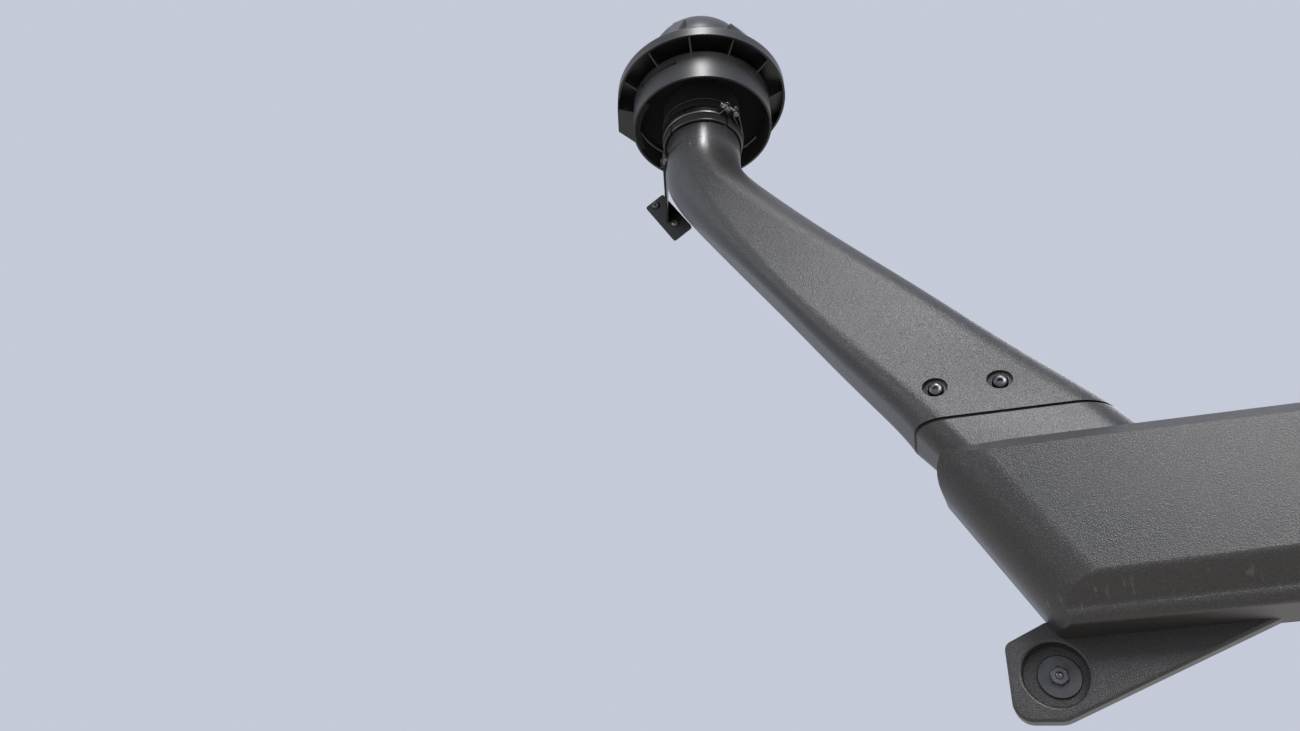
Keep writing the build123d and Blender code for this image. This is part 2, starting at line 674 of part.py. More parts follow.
# Cap: brim, roof and dome in one hollow moulding, with buttresses round the dome
inner_radius = dome_radius - head_wall
with BuildPart() as head_cap:
    with BuildSketch(half_section):
        with BuildLine():
            Polyline(
                (0, dome_centre_z + dome_radius),
                (0, brim_bottom_z),
                (brim_radius, brim_bottom_z),
                (brim_radius, brim_top_z - brim_round),
            )
            ThreePointArc((brim_radius, brim_top_z - brim_round),
                          (brim_radius - brim_arc_in, brim_slope_z - brim_arc_down),
                          (brim_radius - brim_round, brim_slope_z))
            Polyline((brim_radius - brim_round, brim_slope_z), (dome_base_radius, dome_base_z),
                     (dome_radius, dome_centre_z))
            CenterArc((0, dome_centre_z), dome_radius, 0, 90)
        make_face()
    revolve(axis=neck_line)
    for number in range(buttress_count):
        angle = math.radians(buttress_first_angle + number * 360.0 / buttress_count)
        with BuildSketch(Plane(origin=(neck_x, neck_y, 0), x_dir=(math.cos(angle), math.sin(angle), 0),
                               z_dir=(math.sin(angle), -math.cos(angle), 0))):
            with BuildLine():
                Polyline(*buttress_corners, close=True)
            make_face()
        extrude(amount=buttress_width / 2, both=True)
    with BuildSketch(half_section):
        with BuildLine():
            Polyline(
                (0, dome_centre_z + inner_radius),
                (0, brim_bottom_z),
                (brim_radius - head_wall, brim_bottom_z),
                (brim_radius - head_wall, roof_z),
                (dome_base_radius - head_wall, roof_z),
                (inner_radius, dome_centre_z),
            )
            CenterArc((0, dome_centre_z), inner_radius, 0, 90)
        make_face()
    revolve(axis=neck_line, mode=Mode.SUBTRACT)
    with BuildSketch(Plane.XY.offset(port_bottom_z)):
        with BuildLine():
            Polyline((neck_x, neck_y), polar(2 * brim_radius, port_start_angle + port_play),
                     polar(2 * brim_radius, port_window_angle), close=True)
        make_face()
    extrude(amount=roof_z - port_bottom_z, mode=Mode.SUBTRACT)
finish(head_cap.part, "head_cap")

# Dust port: a tangential pocket on the brim, closed below and open at its rear end
tip = polar(brim_radius + port_tip_out, port_tip_angle)
start = polar(brim_radius + seat_gap, port_start_angle)
end = polar(brim_radius - port_end_in, port_end_angle)
hub = polar(drum_radius / 2, port_tip_angle)
inner_tip = moved_corners([end, tip, start, hub], port_wall)[1]
mouth_middle = (tip[0] + (end[0] - tip[0]) * port_mouth_share, tip[1] + (end[1] - tip[1]) * port_mouth_share)
mouth_length = math.dist(tip, end)
mouth_out = ((end[1] - tip[1]) / mouth_length, (tip[0] - end[0]) / mouth_length)
with BuildPart() as head_port:
    with BuildSketch(Plane.XY.offset(port_bottom_z)):
        with BuildLine():
            Polyline(start, tip, end, hub, close=True)
        make_face()
        with Locations((neck_x, neck_y)):
            Circle(drum_radius + seat_gap, mode=Mode.SUBTRACT)
    extrude(amount=roof_z - port_bottom_z - seat_gap)
    with BuildSketch(Plane.XY.offset(port_bottom_z + port_wall)):
        with BuildLine():
            Polyline(polar(brim_radius - port_wall, port_start_angle + port_lead), inner_tip,
                     polar(brim_radius - port_end_in - port_wall, port_end_angle - port_lag), hub, close=True)
        make_face()
    extrude(amount=roof_z - port_bottom_z, mode=Mode.SUBTRACT)
    with BuildSketch(Plane(origin=(*mouth_middle, (port_bottom_z + roof_z) / 2), x_dir=(0, 0, 1),
                           z_dir=(-mouth_out[0], -mouth_out[1], 0))):
        Rectangle(port_mouth_height, port_mouth_width)
    extrude(amount=2 * port_wall, both=True, mode=Mode.SUBTRACT)
finish(head_port.part, "head_port")

# Band clamp round the collar, with ears and a screw across them
band_inner = collar_radius + seat_gap
band_outer = band_inner + clamp_thickness
screw_plane = Plane(origin=(*polar(band_outer + clamp_screw_reach, clamp_angle), clamp_z), x_dir=(0, 0, 1),
                    z_dir=(-math.sin(math.radians(clamp_angle)), math.cos(math.radians(clamp_angle)), 0))
with BuildPart() as neck_clamp:
    with BuildSketch(Plane.XY.offset(clamp_z - clamp_width / 2)):
        with Locations((neck_x, neck_y)):
            Circle(band_outer)
        with Locations(Location((*polar(band_inner + clamp_ear_height / 2, clamp_angle), 0), clamp_angle)):
            Rectangle(clamp_ear_height, clamp_ear_gap + 4 * clamp_thickness)
        with Locations((neck_x, neck_y)):
            Circle(band_inner, mode=Mode.SUBTRACT)
        with Locations(Location((*polar(band_outer + clamp_ear_height / 2, clamp_angle), 0), clamp_angle)):
            Rectangle(2.0 * clamp_ear_height, clamp_ear_gap, mode=Mode.SUBTRACT)
    extrude(amount=clamp_width)
    with BuildSketch(screw_plane):
        Circle(clamp_screw_radius + turn_gap)
    extrude(amount=clamp_screw_length / 2, both=True, mode=Mode.SUBTRACT)
finish(neck_clamp.part, "neck_clamp")

# Screw across the clamp's ears
with BuildPart() as clamp_screw:
    with BuildSketch(screw_plane):
        Circle(clamp_screw_radius)
    extrude(amount=clamp_screw_length / 2, both=True)
    with BuildSketch(screw_plane.offset(clamp_ear_gap / 2 + 2.0 * clamp_thickness)):
        RegularPolygon(clamp_screw_radius + 2.0, 6, major_radius=False)
    extrude(amount=clamp_screw_radius)
    with BuildSketch(screw_plane.offset(-clamp_ear_gap / 2 - 2.0 * clamp_thickness)):
        RegularPolygon(clamp_screw_radius + 2.0, 6, major_radius=False)
    extrude(amount=-clamp_screw_radius)
finish(clamp_screw.part, "clamp_screw")
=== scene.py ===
import bmesh
import bpy
import numpy as np
from mathutils import Matrix, Vector


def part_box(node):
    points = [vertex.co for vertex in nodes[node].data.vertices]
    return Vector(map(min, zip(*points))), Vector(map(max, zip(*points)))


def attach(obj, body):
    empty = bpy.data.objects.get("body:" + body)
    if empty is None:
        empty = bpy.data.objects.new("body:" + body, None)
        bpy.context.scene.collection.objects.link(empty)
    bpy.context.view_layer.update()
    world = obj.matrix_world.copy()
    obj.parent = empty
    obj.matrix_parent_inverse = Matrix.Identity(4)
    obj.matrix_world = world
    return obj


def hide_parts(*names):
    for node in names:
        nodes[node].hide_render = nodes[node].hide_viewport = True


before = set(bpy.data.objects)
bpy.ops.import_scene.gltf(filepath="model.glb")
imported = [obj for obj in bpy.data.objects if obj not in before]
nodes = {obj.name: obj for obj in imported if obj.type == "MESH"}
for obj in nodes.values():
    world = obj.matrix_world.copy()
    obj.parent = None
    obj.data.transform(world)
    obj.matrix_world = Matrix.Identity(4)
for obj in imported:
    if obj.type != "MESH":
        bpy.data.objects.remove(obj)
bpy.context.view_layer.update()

MM = 0.001
UP = (0.0, 0.0, 1.0)
INBOARD = (0.0, 1.0, 0.0)
OUTBOARD = (0.0, -1.0, 0.0)
WING_BOLT = (0.0, 0.0, 0.0)
NECK_AXIS = np.array((-0.302, 0.050))

# Camera of the photograph in the object's frame, in metres and pixels
EYE = (0.0066, -0.810, -0.1586)
EYE_RIGHT = (0.9112, 0.4121, 0.0012)
EYE_DOWN = (-0.2142, 0.4761, -0.8529)
PHOTO_WIDTH = 1300.0
FOCAL_PIXELS = 895.0
SENSOR = 36.0

# Floor and backdrop: the floor is a plain grey that takes light and shadow, with a paleness of its own that
# is only seen and lights nothing
FLOOR_Z = -0.20
FLOOR_HALF = 60.0
FLOOR_PALE = (0.43, 0.42, 0.42, 1.0)
FLOOR_GREY = (0.22, 0.20, 0.185, 1.0)
FLOOR_DULL = 0.9
SKY_SEEN = (0.56, 0.59, 0.69, 1.0)
SKY_LIGHT = (0.90, 0.94, 1.00, 1.0)
SKY_STRENGTH = 0.32

# Colours of the finishes, linear
DUCT_BLACK = (0.0135, 0.0132, 0.0130, 1.0)
DUCT_DUST = (0.030, 0.0293, 0.0280, 1.0)
HEAD_BLACK = (0.015, 0.015, 0.016, 1.0)
HEAD_DUST = (0.045, 0.045, 0.045, 1.0)
# Painted shade: near-black painted inside the drum, where shade falls
DRUM_PAINTED_SHADE = (0.002, 0.002, 0.002, 1.0)
PIT_GREY = (0.14, 0.135, 0.129, 1.0)
SCUFF_GREY = (0.21, 0.20, 0.19, 1.0)
BRACKET_BLACK = (0.010, 0.010, 0.010, 1.0)
SEAL_BLACK = (0.003, 0.003, 0.003, 1.0)
PAD_BLACK = (0.012, 0.012, 0.012, 1.0)
DARK_STEEL = (0.15, 0.15, 0.157, 1.0)
WASHER_STEEL = (0.12, 0.12, 0.124, 1.0)
BRIGHT_STEEL = (0.42, 0.42, 0.42, 1.0)
STRAP_STEEL = (0.22, 0.22, 0.227, 1.0)
STREAK_SHADE = 0.6
CELL_SHADE = 1.6

# Gloss of the finishes: level of the plastics' gloss, their roughness, and how far a roughness wanders
PLASTIC_GLOSS = 0.75
DUCT_ROUGHNESS = 0.33
RISER_ROUGHNESS = 0.36
HEAD_ROUGHNESS = 0.36
EDGE_ROUGHNESS = 0.20
PLASTIC_WANDER = (-0.03, 0.04)
STEEL_WANDER = (-0.06, 0.08)

# Grain of the finishes, in features per metre and metres of depth
PEBBLE_SCALE = 1250.0
PEBBLE_DEPTH = 0.00032
RISER_PEBBLE_SCALE = 950.0
RISER_PEBBLE_DEPTH = 0.00050
HEAD_GRAIN_SCALE = 1100.0
HEAD_GRAIN_DEPTH = 0.00007
EDGE_GRAIN_DEPTH = 0.000014
DUST_SCALE = 9.0
SCRATCH_SCALE = 85.0
STREAK_SCALE = 60.0

# Spread of the patterns: the values between which a noise is read, and for some what they are carried to
DUST_SPREAD = (0.40, 0.75, 0.0, 0.45)
SCRATCH_SPREAD = (0.64, 0.74, 0.0, 0.6)
STREAK_SPREAD = (0.35, 0.70, 0.0, 1.0)
CELL_SPREAD = (0.30, 0.70, 0.0, 1.0)
PIT_NOISE = (0.53, 0.68)
GLOSS_NOISE = (0.30, 0.70)
PIT_SHARE = 0.6

# Scuffs on the duct's undercut lower edge: their heights, how softly they end there, and how they slant
SCUFFED_BAND = (0.030, 0.052)
SCUFF_FADE_LOW = 0.006
SCUFF_FADE_HIGH = 0.008
SCRATCH_STRETCH = (3.0, 1.0, 0.35)
SCRATCH_SLANT = (0.0, 0.5, 0.0)

# The riser's neck is smoother above a height, with this share of its roughness and of its grain left
SMOOTH_ABOVE = 0.72
SMOOTH_FADE = 0.12
ROUGHNESS_LEFT = 0.80
GRAIN_LEFT = 0.12

# Painted shade: the drum is painted deep black and dull nearer its axis than this radius, where shade falls
# inside it
DRUM_SHADE_RADIUS = 0.0955
INSIDE_EDGE = 0.0005

# Fasteners: steps round a head and round a thinner rod, rows to one turn of a thread, a thread's depth and
# end chamfer in pitches, the radius in millimetres at which a shell is closed, and the angle of a sharp edge
ROUND_STEPS = 60
THREAD_STEPS = 32
ROWS_PER_TURN = 8
THREAD_DEPTH = 0.55
THREAD_CHAMFER = 0.6
TIP = 0.05
SHARP_ANGLE = np.radians(32.0)

# Button heads: in millimetres the wall round the hexagon socket, the thin edge's height and its bevel, then
# the socket floor's share of the head's height, and how the dome falls and in how many rows
SOCKET_WALL = 0.55
HEAD_EDGE = 0.35
HEAD_BEVEL = 0.3
SOCKET_FLOOR = 0.45
DOME_POWER = 0.8
DOME_ROWS = 6


def new_material(name):
    """An empty node material with its surface shader, ready for a finish."""
    material = bpy.data.materials.new(name)
    material.use_nodes = True
    tree = material.node_tree
    shader = tree.nodes["Principled BSDF"]
    return material, tree, shader


def object_pattern(tree, kind, scale, **settings):
    """A texture on Object coordinates, at its own scale."""
    place = tree.nodes.new("ShaderNodeTexCoord")
    texture = tree.nodes.new(kind)
    texture.inputs["Scale"].default_value = scale
    for key, value in settings.items():
        texture.inputs[key.replace("_", " ")].default_value = value
    tree.links.new(place.outputs["Object"], texture.inputs["Vector"])
    return texture


def blend_range(tree, source, low, high, out_low, out_high):
    """Source carried from one range to another and held at its ends."""
    change = tree.nodes.new("ShaderNodeMapRange")
    change.inputs["From Min"].default_value = low
    change.inputs["From Max"].default_value = high
    change.inputs["To Min"].default_value = out_low
    change.inputs["To Max"].default_value = out_high
    tree.links.new(source, change.inputs["Value"])
    return change.outputs["Result"]


def combined(tree, operation, first, second):
    """Two number outputs put together by a maths operation, such as their product or the greater one."""
    both = tree.nodes.new("ShaderNodeMath")
    both.operation = operation
    tree.links.new(first, both.inputs[0])
    tree.links.new(second, both.inputs[1])
    return both.outputs["Value"]


def two_colours(tree, share, first, second):
    """Colour that goes from first to second with share; first may be another colour output."""
    mix = tree.nodes.new("ShaderNodeMix")
    mix.data_type = "RGBA"
    start = mix.inputs["A"]
    if isinstance(first, tuple):
        start.default_value = first
    else:
        tree.links.new(first, start)
    mix.inputs["B"].default_value = second
    tree.links.new(share, mix.inputs["Factor"])
    return mix.outputs["Result"]


def height_of(tree):
    """Height on the object."""
    place = tree.nodes.new("ShaderNodeTexCoord")
    parts = tree.nodes.new("ShaderNodeSeparateXYZ")
    tree.links.new(place.outputs["Object"], parts.inputs["Vector"])
    return parts.outputs["Z"]


def add_relief(tree, shader, height, depth):
    """Fine relief of a height output, with its depth in metres."""
    bump = tree.nodes.new("ShaderNodeBump")
    bump.inputs["Strength"].default_value = 1.0
    bump.inputs["Distance"].default_value = depth
    tree.links.new(height, bump.inputs["Height"])
    tree.links.new(bump.outputs["Normal"], shader.inputs["Normal"])


def low_scratches(tree, bottom, top):
    """Share of thin slanting scratches between two heights, as on the duct's undercut lower edge."""
    place = tree.nodes.new("ShaderNodeTexCoord")
    flatten = tree.nodes.new("ShaderNodeMapping")
    flatten.inputs["Scale"].default_value = SCRATCH_STRETCH
    flatten.inputs["Rotation"].default_value = SCRATCH_SLANT
    tree.links.new(place.outputs["Object"], flatten.inputs["Vector"])
    marks = tree.nodes.new("ShaderNodeTexNoise")
    marks.inputs["Scale"].default_value = SCRATCH_SCALE
    marks.inputs["Detail"].default_value = 2.0
    tree.links.new(flatten.outputs["Vector"], marks.inputs["Vector"])
    thin = blend_range(tree, marks.outputs["Fac"], *SCRATCH_SPREAD)
    height = height_of(tree)
    below_top = blend_range(tree, height, top - SCUFF_FADE_HIGH, top, 1.0, 0.0)
    above_bottom = blend_range(tree, height, bottom, bottom + SCUFF_FADE_LOW, 0.0, 1.0)
    return combined(tree, "MULTIPLY", combined(tree, "MULTIPLY", thin, below_top), above_bottom)


def inside_of(tree, radius):
    """Share that is 1 nearer the neck's axis than a radius and 0 beyond it."""
    place = tree.nodes.new("ShaderNodeTexCoord")
    level = tree.nodes.new("ShaderNodeMapping")
    level.inputs["Location"].default_value = (-NECK_AXIS[0], -NECK_AXIS[1], 0.0)
    level.inputs["Scale"].default_value = (1.0, 1.0, 0.0)
    tree.links.new(place.outputs["Object"], level.inputs["Vector"])
    reach = tree.nodes.new("ShaderNodeVectorMath")
    reach.operation = "LENGTH"
    tree.links.new(level.outputs["Vector"], reach.inputs[0])
    return blend_range(tree, reach.outputs["Value"], radius - INSIDE_EDGE, radius, 1.0, 0.0)


def grained_plastic(name, black, dust, roughness, grain_scale, grain_depth, pit_share=0.0, scuffed=None,
                    painted_shade_radius=None, smooth_above=None):
    """Moulded plastic: even grain with a share of greyer pits, slow changes of gloss and a little settled
    dust. It may have scuffs between two heights, have painted shade, deep black and dull, nearer the neck's
    axis than a radius, and lose its grain and gain gloss above a height."""
    material, tree, shader = new_material(name)
    shader.inputs["Specular IOR Level"].default_value = PLASTIC_GLOSS
    grain = object_pattern(tree, "ShaderNodeTexNoise", grain_scale, Detail=1.5, Roughness=0.5)
    wide = object_pattern(tree, "ShaderNodeTexNoise", DUST_SCALE, Detail=4.0, Roughness=0.55)
    dusty = blend_range(tree, wide.outputs["Fac"], *DUST_SPREAD)
    pits = blend_range(tree, grain.outputs["Fac"], *PIT_NOISE, 0.0, pit_share)
    colour = two_colours(tree, pits, two_colours(tree, dusty, black, dust), PIT_GREY)
    smoothest, roughest = [roughness + change for change in PLASTIC_WANDER]
    gloss = blend_range(tree, wide.outputs["Fac"], *GLOSS_NOISE, smoothest, roughest)
    relief = grain.outputs["Fac"]
    if scuffed is not None:
        colour = two_colours(tree, low_scratches(tree, *scuffed), colour, SCUFF_GREY)
    # Painted shade: deep black and full roughness nearer the neck's axis than a radius, where shade falls
    # inside the drum
    if painted_shade_radius is not None:
        inside = inside_of(tree, painted_shade_radius)
        colour = two_colours(tree, inside, colour, DRUM_PAINTED_SHADE)
        gloss = combined(tree, "MAXIMUM", gloss, inside)
    if smooth_above is not None:
        height = height_of(tree)
        fade = (smooth_above - SMOOTH_FADE, smooth_above, 1.0)
        gloss = combined(tree, "MULTIPLY", gloss, blend_range(tree, height, *fade, ROUGHNESS_LEFT))
        relief = combined(tree, "MULTIPLY", relief, blend_range(tree, height, *fade, GRAIN_LEFT))
    tree.links.new(colour, shader.inputs["Base Color"])
    tree.links.new(gloss, shader.inputs["Roughness"])
    add_relief(tree, shader, relief, grain_depth)
    return material


def steel(name, colour, roughness):
    """Rolled or turned steel with faint streaks."""
    material, tree, shader = new_material(name)
    shader.inputs["Metallic"].default_value = 1.0
    streak = object_pattern(tree, "ShaderNodeTexNoise", STREAK_SCALE, Detail=6.0, Roughness=0.6)
    darker = tuple(STREAK_SHADE * c for c in colour[:3]) + (1.0,)
    share = blend_range(tree, streak.outputs["Fac"], *STREAK_SPREAD)
    tree.links.new(two_colours(tree, share, colour, darker), shader.inputs["Base Color"])
    smoothest, roughest = [roughness + change for change in STEEL_WANDER]
    gloss = blend_range(tree, streak.outputs["Fac"], *GLOSS_NOISE, smoothest, roughest)
    tree.links.new(gloss, shader.inputs["Roughness"])
    return material


def rubbery(name, black, roughness, scale, depth):
    """Rubber, foam or powder coat: one dark colour with an even fine relief."""
    material, tree, shader = new_material(name)
    cells = object_pattern(tree, "ShaderNodeTexNoise", scale, Detail=4.0, Roughness=0.7)
    paler = tuple(CELL_SHADE * c for c in black[:3]) + (1.0,)
    share = blend_range(tree, cells.outputs["Fac"], *CELL_SPREAD)
    tree.links.new(two_colours(tree, share, black, paler), shader.inputs["Base Color"])
    shader.inputs["Roughness"].default_value = roughness
    add_relief(tree, shader, cells.outputs["Fac"], depth)
    return material


def seen_share(tree):
    """Share that is 1 where the stage is looked at, straight on or in a gloss, and 0 where it gives light."""
    rays = tree.nodes.new("ShaderNodeLightPath")
    share = rays.outputs["Is Camera Ray"]
    for kind in ("Is Glossy Ray", "Is Transmission Ray"):
        share = combined(tree, "MAXIMUM", share, rays.outputs[kind])
    return share


def pale_floor(name, seen, grey, roughness):
    """Floor: a plain grey that keeps the shadows, with a paleness added where it is seen or mirrored."""
    material, tree, shader = new_material(name)
    shader.inputs["Base Color"].default_value = grey
    shader.inputs["Roughness"].default_value = roughness
    shader.inputs["Emission Color"].default_value = seen
    tree.links.new(seen_share(tree), shader.inputs["Emission Strength"])
    return material


def lit_sky(name, light, seen, strength):
    """World: an even pale light from all around, with a backdrop colour for the eye and for glosses."""
    world = bpy.data.worlds.new(name)
    world.use_nodes = True
    tree = world.node_tree
    lighting = tree.nodes["Background"]
    lighting.inputs["Color"].default_value = light
    lighting.inputs["Strength"].default_value = strength
    backdrop = tree.nodes.new("ShaderNodeBackground")
    backdrop.inputs["Color"].default_value = seen
    mix = tree.nodes.new("ShaderNodeMixShader")
    tree.links.new(seen_share(tree), mix.inputs["Fac"])
    tree.links.new(lighting.outputs["Background"], mix.inputs[1])
    tree.links.new(backdrop.outputs["Background"], mix.inputs[2])
    tree.links.new(mix.outputs["Shader"], tree.nodes["World Output"].inputs["Surface"])
    return world


duct_plastic = grained_plastic("duct plastic", DUCT_BLACK, DUCT_DUST, DUCT_ROUGHNESS, PEBBLE_SCALE,
                               PEBBLE_DEPTH, pit_share=PIT_SHARE, scuffed=SCUFFED_BAND)
riser_plastic = grained_plastic("riser plastic", DUCT_BLACK, DUCT_DUST, RISER_ROUGHNESS, RISER_PEBBLE_SCALE,
                                RISER_PEBBLE_DEPTH, pit_share=PIT_SHARE, smooth_above=SMOOTH_ABOVE)
head_plastic = grained_plastic("head plastic", HEAD_BLACK, HEAD_DUST, HEAD_ROUGHNESS, HEAD_GRAIN_SCALE,
                               HEAD_GRAIN_DEPTH)
# The drum's inside carries painted shade
drum_plastic = grained_plastic("drum plastic", HEAD_BLACK, HEAD_DUST, HEAD_ROUGHNESS, HEAD_GRAIN_SCALE,
                               HEAD_GRAIN_DEPTH, painted_shade_radius=DRUM_SHADE_RADIUS)
smooth_edge = grained_plastic("smooth edge", HEAD_BLACK, HEAD_DUST, EDGE_ROUGHNESS, HEAD_GRAIN_SCALE,
                              EDGE_GRAIN_DEPTH)
dark_steel = steel("dark steel", DARK_STEEL, roughness=0.32)
washer_steel = steel("washer steel", WASHER_STEEL, roughness=0.40)
bright_steel = steel("bright steel", BRIGHT_STEEL, roughness=0.25)
strap_steel = steel("strap steel", STRAP_STEEL, roughness=0.30)
bracket_coat = rubbery("bracket coat", BRACKET_BLACK, roughness=0.42, scale=700.0, depth=0.00008)
seal_rubber = rubbery("seal rubber", SEAL_BLACK, roughness=0.75, scale=500.0, depth=0.0001)
pad_foam = rubbery("pad foam", PAD_BLACK, roughness=0.9, scale=900.0, depth=0.0004)

# Node: its finish, and the record's material slot
finishes = {
    "riser_duct": (riser_plastic, "duct_plastic"),
    "seam_screws": (dark_steel, "zinc_steel"),
    "seam_seal": (seal_rubber, "seal_rubber"),
    "wing_duct": (duct_plastic, "duct_plastic"),
    "wing_pad": (pad_foam, "pad_foam"),
    "lug_pad": (pad_foam, "pad_foam"),
    "wing_bolt": (dark_steel, "zinc_steel"),
    "wing_washer": (washer_steel, "zinc_steel"),
    "wing_studs": (bright_steel, "zinc_steel"),
    "pillar_bracket": (bracket_coat, "coated_steel"),
    "pillar_screws": (dark_steel, "zinc_steel"),
    "boss_screw": (bracket_coat, "zinc_steel"),
    "head_drum": (drum_plastic, "head_plastic"),
    "head_vanes": (head_plastic, "head_plastic"),
    "head_cap": (head_plastic, "head_plastic"),
    "head_port": (head_plastic, "head_plastic"),
    "neck_clamp": (strap_steel, "zinc_steel"),
    "clamp_screw": (bright_steel, "zinc_steel"),
}
for node_name, (material, slot_name) in finishes.items():
    node = nodes[node_name]
    node.data.materials.clear()
    node.data.materials.append(material)


def turned(place, along, rows, relief=None, steps=ROUND_STEPS):
    """Closed shell round an axis. Each row gives, in millimetres, a ring's radius and its height along the
    axis, and how far the ring is a hexagon: 0 is a circle, 1 a hexagon whose flats lie at that radius. A
    hexagon's point lies at the radius over the cosine of its angle from the middle of its flat. relief, if
    given, returns what is taken off each radius from the grids of height and angle."""
    radius, height, hexagon = [np.array(column, float) for column in zip(*rows)]
    along = np.array(along, float)
    helper = np.array(UP) if abs(along[2]) < 0.9 else np.array((1.0, 0.0, 0.0))
    first = np.cross(helper, along)
    first /= np.linalg.norm(first)
    second = np.cross(along, first)
    angle = np.arange(steps) * 2.0 * np.pi / steps
    sector = np.pi / 3.0
    corner = 1.0 / np.cos((angle + sector / 2.0) % sector - sector / 2.0) - 1.0
    reach = radius[:, None] * (1.0 + hexagon[:, None] * corner[None, :])
    if relief is not None:
        reach = reach - relief(height[:, None] + 0.0 * angle, angle + 0.0 * height[:, None])
    centre = np.array(place, float) + MM * height[:, None] * along
    rings = (centre[:, None, :] + MM * (reach * np.cos(angle))[:, :, None] * first
             + MM * (reach * np.sin(angle))[:, :, None] * second)
    points = np.concatenate([rings.reshape(-1, 3), centre[:1], centre[-1:]])
    count = len(radius)
    low = (np.arange(count - 1)[:, None] * steps + np.arange(steps)).ravel()
    turn = (np.arange(count - 1)[:, None] * steps + (np.arange(steps) + 1) % steps).ravel()
    quads = np.stack([low, turn, turn + steps, low + steps], axis=1)
    ring = np.arange(steps)
    ahead = (ring + 1) % steps
    foot = np.full(steps, count * steps)
    base = (count - 1) * steps
    fans = np.concatenate([np.stack([foot, ahead, ring], axis=1),
                           np.stack([foot + 1, base + ring, base + ahead], axis=1)])
    return points, quads.tolist() + fans.tolist()


def thread_groove(pitch, start, stop):
    """Relief of a screw thread between two heights: a V groove that climbs one pitch a turn, with a run-in
    of one pitch at both ends."""
    def relief(height, angle):
        groove = 2.0 * np.abs((height / pitch - angle / (2.0 * np.pi)) % 1.0 - 0.5)
        inside = np.clip((height - start) / pitch, 0.0, 1.0) * np.clip((stop - height) / pitch, 0.0, 1.0)
        return THREAD_DEPTH * pitch * groove * inside
    return relief


def threaded(place, along, radius, start, stop, pitch):
    """Threaded rod between two heights: rows of one radius, several to a pitch, less the thread's groove,
    with a chamfered end."""
    heights = np.arange(start, stop - pitch / 2.0, pitch / ROWS_PER_TURN)
    rows = [(radius - pitch / 2.0, start, 0.0)] + [(radius, h, 0.0) for h in heights]
    rows += [(radius - THREAD_CHAMFER * pitch, stop, 0.0)]
    return turned(place, along, rows, thread_groove(pitch, start, stop), THREAD_STEPS)


def socket_head(head_radius, head_height, socket_radius, shank_radius, shank_length):
    """Rows of a button head with a hexagon socket on a plain shank, from the socket's floor round to the
    shank's end. The dome falls from the socket's rim to the thin edge like a power of the cosine, as its
    radius grows like the sine."""
    rim = socket_radius + SOCKET_WALL
    floor = SOCKET_FLOOR * head_height
    quarter = np.linspace(0.0, 1.0, DOME_ROWS + 1)[1:-1] * np.pi / 2.0
    dome = [(rim + (head_radius - rim) * np.sin(turn),
             HEAD_EDGE + (head_height - HEAD_EDGE) * np.cos(turn) ** DOME_POWER, 0.0) for turn in quarter]
    socket = [(TIP, floor, 1.0), (socket_radius, floor, 1.0), (socket_radius, head_height - HEAD_EDGE, 1.0),
              (rim, head_height, 0.0)]
    foot = [(head_radius, HEAD_EDGE, 0.0), (head_radius - HEAD_BEVEL, 0.0, 0.0), (shank_radius, 0.0, 0.0),
            (shank_radius, -shank_length, 0.0)]
    return socket + dome + foot


def carried(path, outline, whole_turn=False):
    """Closed bar of an outline carried along a path that lies level: outline points are offsets away from
    the neck's axis and upward, in metres. Both ends are capped, or joined where the path is a whole turn."""
    out = path[:, :2] - NECK_AXIS
    out = np.concatenate([out / np.linalg.norm(out, axis=1)[:, None], np.zeros((len(path), 1))], axis=1)
    rings = (path[:, None, :] + outline[None, :, :1] * out[:, None, :]
             + outline[None, :, 1:] * np.array(UP))
    count, around = len(path), len(outline)
    spans = np.arange(count if whole_turn else count - 1)[:, None] * around
    low = (spans + np.arange(around)).ravel()
    turn = (spans + (np.arange(around) + 1) % around).ravel()
    total = count * around
    quads = np.stack([low, turn, (turn + around) % total, (low + around) % total], axis=1).tolist()
    if whole_turn:
        return rings.reshape(-1, 3), quads
    caps = [list(range(around))[::-1], [(count - 1) * around + i for i in range(around)]]
    return rings.reshape(-1, 3), quads + caps


def new_piece(name, shells, material, body, stands_for=()):
    """One mesh object from one or more shells, smooth apart from its sharp edges, set into the frame."""
    points = np.concatenate([shell[0] for shell in shells])
    faces = []
    count = 0
    for shell_points, shell_faces in shells:
        faces += [[count + i for i in face] for face in shell_faces]
        count += len(shell_points)
    mesh = bpy.data.meshes.new(name)
    mesh.from_pydata(points.tolist(), [], faces)
    work = bmesh.new()
    work.from_mesh(mesh)
    bmesh.ops.recalc_face_normals(work, faces=work.faces)
    work.to_mesh(mesh)
    work.free()
    mesh.shade_smooth()
    mesh.set_sharp_from_angle(angle=SHARP_ANGLE)
    mesh.materials.append(material)
    piece = bpy.data.objects.new(name, mesh)
    bpy.context.scene.collection.objects.link(piece)
    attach(piece, body)
    if stands_for:
        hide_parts(*stands_for)
    return piece


def node_points(name):
    """All points of a node's mesh, in metres."""
    mesh = nodes[name].data
    points = np.empty(3 * len(mesh.vertices))
    mesh.vertices.foreach_get("co", points)
    return points.reshape(-1, 3)


def middle_of(points):
    """Middle of a set of points' box."""
    return (points.min(axis=0) + points.max(axis=0)) / 2.0


def side_by_side(name):
    """Middle across and up, and outboard end, of each of a node's two solids, the rear one first."""
    points = node_points(name)
    offset = points[:, 0] - middle_of(points)[0]
    places = []
    for own in (points[offset < 0.0], points[offset > 0.0]):
        x, _, z = middle_of(own)
        places.append((x, own[:, 1].min(), z))
    return places


